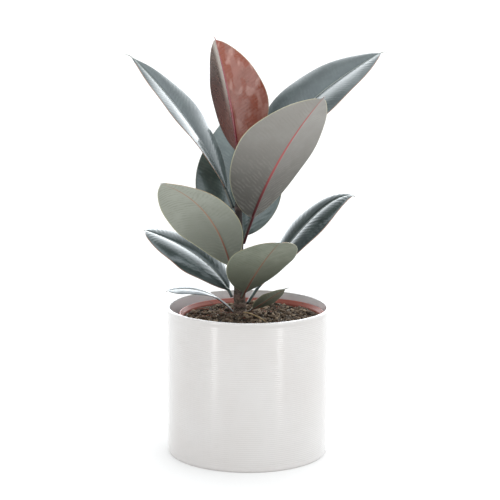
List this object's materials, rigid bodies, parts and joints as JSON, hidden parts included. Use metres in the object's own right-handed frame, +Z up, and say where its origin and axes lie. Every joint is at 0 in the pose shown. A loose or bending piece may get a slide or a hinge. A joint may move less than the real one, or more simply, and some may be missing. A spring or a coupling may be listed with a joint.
{
  "type": "potted rubber plant",
  "caption": "Young rubber plant with broad glossy leaves on one woody stem, rooted in a nursery pot that stands in a white cylindrical planter.",
  "frame": {"origin": "centre of the planter's flat underside", "axes": "+Z up along the plant, -Y is the front, +X is to the right as seen from the front"},
  "size_m": [0.232, 0.1611, 0.3564],
  "materials": {
    "planter": "white, satin, with fine moulded ribs round the body",
    "nursery_pot": "terracotta red, semi-matte moulded plastic",
    "root_ball": "dark coarse peat with fibres and paler crumbs",
    "stem": "brown bark at the foot, smooth purple-brown above",
    "leaf": "glossy dark green above, matte pale sage with a red midrib underneath",
    "young_leaf": "glossy red-brown, with a crimson midrib"
  },
  "bodies": {
    "root": {"planter": "planter", "nursery_pot": "nursery_pot", "root_ball": "root_ball", "stem": "stem", "terminal_bud": "young_leaf", "leaf_upper_left": "leaf", "leaf_youngest": "young_leaf", "leaf_upper_right": "leaf", "leaf_front_right": "leaf", "leaf_back": "leaf", "leaf_front_left": "leaf", "leaf_lower_left": "leaf", "leaf_lower_front": "leaf", "leaf_right": "leaf", "leaf_small_left": "leaf", "leaf_small_right": "leaf"}
  },
  "joints": []
}
